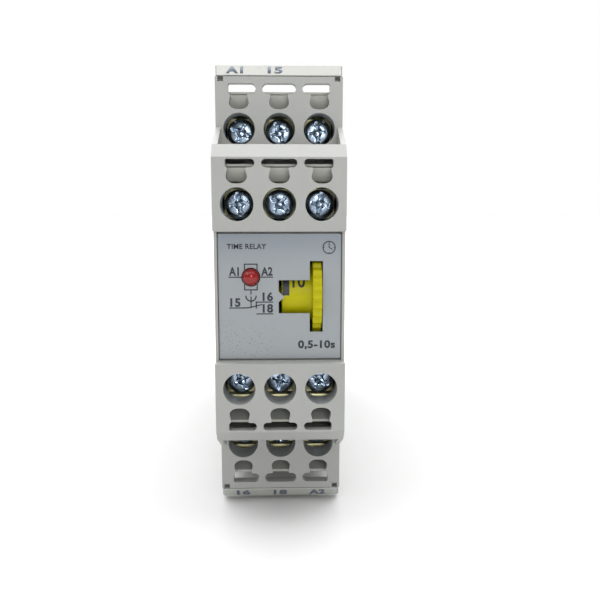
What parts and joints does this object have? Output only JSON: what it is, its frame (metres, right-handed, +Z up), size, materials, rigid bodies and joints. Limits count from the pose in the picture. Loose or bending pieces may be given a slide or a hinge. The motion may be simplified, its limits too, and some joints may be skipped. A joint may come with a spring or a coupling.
{
  "type": "din rail timer",
  "caption": "Narrow rail-mounted time relay with a stepped front, screw terminals at both ends, a time-setting thumbwheel, a status lamp and a spring latch at the back.",
  "frame": {"origin": "middle of the footprint of the timer standing on its lower end", "axes": "+X to the right across the width, -Y out of the front, +Z up towards the upper terminals"},
  "size_m": [0.0226, 0.0996, 0.082],
  "materials": {
    "grey_plastic": "fine moulded satin, light grey",
    "marker_plastic": "smooth satin, off-white",
    "carrier_plastic": "moulded insulator, grey",
    "label_film": "silver-grey printed film",
    "yellow_plastic": "moulded yellow",
    "red_lens": "tinted clear lens",
    "black_plastic": "moulded black",
    "blue_zinc": "blue passivated zinc plate",
    "brass": "stamped, slightly tarnished",
    "spring_steel": "bright steel",
    "copper_wire": "lacquered copper",
    "board_green": "solder-masked glass-fibre board",
    "blue_sleeve": "shrink sleeve"
  },
  "bodies": {
    "housing": {"rear_housing": "grey_plastic", "front_shroud": "grey_plastic", "label_plate": "label_film", "marker_strip_upper": "marker_plastic", "marker_strip_lower": "marker_plastic", "terminal_carrier_upper": "carrier_plastic", "terminal_carrier_lower": "carrier_plastic", "potentiometer": "black_plastic", "wheel_post": "carrier_plastic", "status_lamp": "red_lens", "front_board": "board_green", "terminal_board_upper": "board_green", "terminal_board_lower": "board_green", "main_board": "board_green", "filter_capacitor": "blue_sleeve", "timing_chip": "black_plastic", "relay_base": "black_plastic", "relay_yoke": "spring_steel", "relay_coil": "copper_wire", "rail_latch_spring": "spring_steel", "terminal_bar_upper_front_left": "brass", "terminal_bar_upper_front_middle": "brass", "terminal_bar_upper_front_right": "brass", "terminal_bar_upper_deep_left": "brass", "terminal_bar_upper_deep_middle": "brass", "terminal_bar_upper_deep_right": "brass", "terminal_bar_lower_front_left": "brass", "terminal_bar_lower_front_middle": "brass", "terminal_bar_lower_front_right": "brass", "terminal_bar_lower_deep_left": "brass", "terminal_bar_lower_deep_middle": "brass", "terminal_bar_lower_deep_right": "brass"},
    "time_wheel": {"time_wheel": "yellow_plastic"},
    "rail_latch": {"rail_latch": "grey_plastic"},
    "relay_armature": {"relay_armature": "spring_steel"},
    "relay_contact_blade": {"relay_contact_blade": "copper_wire"},
    "clamp_upper_front_left": {"clamp_plate_upper_front_left": "brass"},
    "screw_upper_front_left": {"terminal_screw_upper_front_left": "blue_zinc"},
    "clamp_upper_front_middle": {"clamp_plate_upper_front_middle": "brass"},
    "screw_upper_front_middle": {"terminal_screw_upper_front_middle": "blue_zinc"},
    "clamp_upper_front_right": {"clamp_plate_upper_front_right": "brass"},
    "screw_upper_front_right": {"terminal_screw_upper_front_right": "blue_zinc"},
    "clamp_upper_deep_left": {"clamp_plate_upper_deep_left": "brass"},
    "screw_upper_deep_left": {"terminal_screw_upper_deep_left": "blue_zinc"},
    "clamp_upper_deep_middle": {"clamp_plate_upper_deep_middle": "brass"},
    "screw_upper_deep_middle": {"terminal_screw_upper_deep_middle": "blue_zinc"},
    "clamp_upper_deep_right": {"clamp_plate_upper_deep_right": "brass"},
    "screw_upper_deep_right": {"terminal_screw_upper_deep_right": "blue_zinc"},
    "clamp_lower_front_left": {"clamp_plate_lower_front_left": "brass"},
    "screw_lower_front_left": {"terminal_screw_lower_front_left": "blue_zinc"},
    "clamp_lower_front_middle": {"clamp_plate_lower_front_middle": "brass"},
    "screw_lower_front_middle": {"terminal_screw_lower_front_middle": "blue_zinc"},
    "clamp_lower_front_right": {"clamp_plate_lower_front_right": "brass"},
    "screw_lower_front_right": {"terminal_screw_lower_front_right": "blue_zinc"},
    "clamp_lower_deep_left": {"clamp_plate_lower_deep_left": "brass"},
    "screw_lower_deep_left": {"terminal_screw_lower_deep_left": "blue_zinc"},
    "clamp_lower_deep_middle": {"clamp_plate_lower_deep_middle": "brass"},
    "screw_lower_deep_middle": {"terminal_screw_lower_deep_middle": "blue_zinc"},
    "clamp_lower_deep_right": {"clamp_plate_lower_deep_right": "brass"},
    "screw_lower_deep_right": {"terminal_screw_lower_deep_right": "blue_zinc"}
  },
  "joints": [
    {"name": "time_wheel_turn", "type": "hinge", "parent": "housing", "child": "time_wheel", "pos_m": [0, -0.04155, 0.041], "axis": [1, 0, 0], "range_deg": [-250, 20]},
    {"name": "rail_latch_slide", "type": "slide", "parent": "housing", "child": "rail_latch", "axis": [0, 0, -1], "range_m": [0, 0.003], "stiffness_N_per_m": 1500, "springref_m": -0.001, "deforming": ["rail_latch_spring"]},
    {"name": "relay_armature_pull", "type": "hinge", "parent": "housing", "child": "relay_armature", "pos_m": [-0.00475, 0.00985, 0.021], "axis": [0, 0, 1], "range_deg": [-6, 0], "stiffness_Nm_per_rad": 0.02},
    {"name": "relay_blade_swing", "type": "hinge", "parent": "housing", "child": "relay_contact_blade", "pos_m": [-0.00535, 0.00695, 0.021], "axis": [0, 0, 1], "range_deg": [-6, 0]},
    {"name": "clamp_upper_front_left_lift", "type": "slide", "parent": "housing", "child": "clamp_upper_front_left", "axis": [0, -1, 0], "range_m": [0, 0.002]},
    {"name": "screw_upper_front_left_turn", "type": "hinge", "parent": "clamp_upper_front_left", "child": "screw_upper_front_left", "pos_m": [-0.00712, -0.04385, 0.0569], "axis": [0, -1, 0], "range_deg": [0, 1440]},
    {"name": "clamp_upper_front_middle_lift", "type": "slide", "parent": "housing", "child": "clamp_upper_front_middle", "axis": [0, -1, 0], "range_m": [0, 0.002]},
    {"name": "screw_upper_front_middle_turn", "type": "hinge", "parent": "clamp_upper_front_middle", "child": "screw_upper_front_middle", "pos_m": [0, -0.04385, 0.0569], "axis": [0, -1, 0], "range_deg": [0, 1440]},
    {"name": "clamp_upper_front_right_lift", "type": "slide", "parent": "housing", "child": "clamp_upper_front_right", "axis": [0, -1, 0], "range_m": [0, 0.002]},
    {"name": "screw_upper_front_right_turn", "type": "hinge", "parent": "clamp_upper_front_right", "child": "screw_upper_front_right", "pos_m": [0.00712, -0.04385, 0.0569], "axis": [0, -1, 0], "range_deg": [0, 1440]},
    {"name": "clamp_upper_deep_left_lift", "type": "slide", "parent": "housing", "child": "clamp_upper_deep_left", "axis": [0, -1, 0], "range_m": [0, 0.002]},
    {"name": "screw_upper_deep_left_turn", "type": "hinge", "parent": "clamp_upper_deep_left", "child": "screw_upper_deep_left", "pos_m": [-0.00712, -0.03485, 0.0701], "axis": [0, -1, 0], "range_deg": [0, 1440]},
    {"name": "clamp_upper_deep_middle_lift", "type": "slide", "parent": "housing", "child": "clamp_upper_deep_middle", "axis": [0, -1, 0], "range_m": [0, 0.002]},
    {"name": "screw_upper_deep_middle_turn", "type": "hinge", "parent": "clamp_upper_deep_middle", "child": "screw_upper_deep_middle", "pos_m": [0, -0.03485, 0.0701], "axis": [0, -1, 0], "range_deg": [0, 1440]},
    {"name": "clamp_upper_deep_right_lift", "type": "slide", "parent": "housing", "child": "clamp_upper_deep_right", "axis": [0, -1, 0], "range_m": [0, 0.002]},
    {"name": "screw_upper_deep_right_turn", "type": "hinge", "parent": "clamp_upper_deep_right", "child": "screw_upper_deep_right", "pos_m": [0.00712, -0.03485, 0.0701], "axis": [0, -1, 0], "range_deg": [0, 1440]},
    {"name": "clamp_lower_front_left_lift", "type": "slide", "parent": "housing", "child": "clamp_lower_front_left", "axis": [0, -1, 0], "range_m": [0, 0.002]},
    {"name": "screw_lower_front_left_turn", "type": "hinge", "parent": "clamp_lower_front_left", "child": "screw_lower_front_left", "pos_m": [-0.00712, -0.04385, 0.0251], "axis": [0, -1, 0], "range_deg": [0, 1440]},
    {"name": "clamp_lower_front_middle_lift", "type": "slide", "parent": "housing", "child": "clamp_lower_front_middle", "axis": [0, -1, 0], "range_m": [0, 0.002]},
    {"name": "screw_lower_front_middle_turn", "type": "hinge", "parent": "clamp_lower_front_middle", "child": "screw_lower_front_middle", "pos_m": [0, -0.04385, 0.0251], "axis": [0, -1, 0], "range_deg": [0, 1440]},
    {"name": "clamp_lower_front_right_lift", "type": "slide", "parent": "housing", "child": "clamp_lower_front_right", "axis": [0, -1, 0], "range_m": [0, 0.002]},
    {"name": "screw_lower_front_right_turn", "type": "hinge", "parent": "clamp_lower_front_right", "child": "screw_lower_front_right", "pos_m": [0.00712, -0.04385, 0.0251], "axis": [0, -1, 0], "range_deg": [0, 1440]},
    {"name": "clamp_lower_deep_left_lift", "type": "slide", "parent": "housing", "child": "clamp_lower_deep_left", "axis": [0, -1, 0], "range_m": [0, 0.002]},
    {"name": "screw_lower_deep_left_turn", "type": "hinge", "parent": "clamp_lower_deep_left", "child": "screw_lower_deep_left", "pos_m": [-0.00712, -0.03485, 0.0119], "axis": [0, -1, 0], "range_deg": [0, 1440]},
    {"name": "clamp_lower_deep_middle_lift", "type": "slide", "parent": "housing", "child": "clamp_lower_deep_middle", "axis": [0, -1, 0], "range_m": [0, 0.002]},
    {"name": "screw_lower_deep_middle_turn", "type": "hinge", "parent": "clamp_lower_deep_middle", "child": "screw_lower_deep_middle", "pos_m": [0, -0.03485, 0.0119], "axis": [0, -1, 0], "range_deg": [0, 1440]},
    {"name": "clamp_lower_deep_right_lift", "type": "slide", "parent": "housing", "child": "clamp_lower_deep_right", "axis": [0, -1, 0], "range_m": [0, 0.002]},
    {"name": "screw_lower_deep_right_turn", "type": "hinge", "parent": "clamp_lower_deep_right", "child": "screw_lower_deep_right", "pos_m": [0.00712, -0.03485, 0.0119], "axis": [0, -1, 0], "range_deg": [0, 1440]}
  ],
  "couplings": [
    {"joint": "relay_blade_swing", "follows": "relay_armature_pull", "ratio": 1},
    {"joint": "screw_upper_front_left_turn", "follows": "clamp_upper_front_left_lift", "rad_per_m": 12566},
    {"joint": "screw_upper_front_middle_turn", "follows": "clamp_upper_front_middle_lift", "rad_per_m": 12566},
    {"joint": "screw_upper_front_right_turn", "follows": "clamp_upper_front_right_lift", "rad_per_m": 12566},
    {"joint": "screw_upper_deep_left_turn", "follows": "clamp_upper_deep_left_lift", "rad_per_m": 12566},
    {"joint": "screw_upper_deep_middle_turn", "follows": "clamp_upper_deep_middle_lift", "rad_per_m": 12566},
    {"joint": "screw_upper_deep_right_turn", "follows": "clamp_upper_deep_right_lift", "rad_per_m": 12566},
    {"joint": "screw_lower_front_left_turn", "follows": "clamp_lower_front_left_lift", "rad_per_m": 12566},
    {"joint": "screw_lower_front_middle_turn", "follows": "clamp_lower_front_middle_lift", "rad_per_m": 12566},
    {"joint": "screw_lower_front_right_turn", "follows": "clamp_lower_front_right_lift", "rad_per_m": 12566},
    {"joint": "screw_lower_deep_left_turn", "follows": "clamp_lower_deep_left_lift", "rad_per_m": 12566},
    {"joint": "screw_lower_deep_middle_turn", "follows": "clamp_lower_deep_middle_lift", "rad_per_m": 12566},
    {"joint": "screw_lower_deep_right_turn", "follows": "clamp_lower_deep_right_lift", "rad_per_m": 12566}
  ]
}
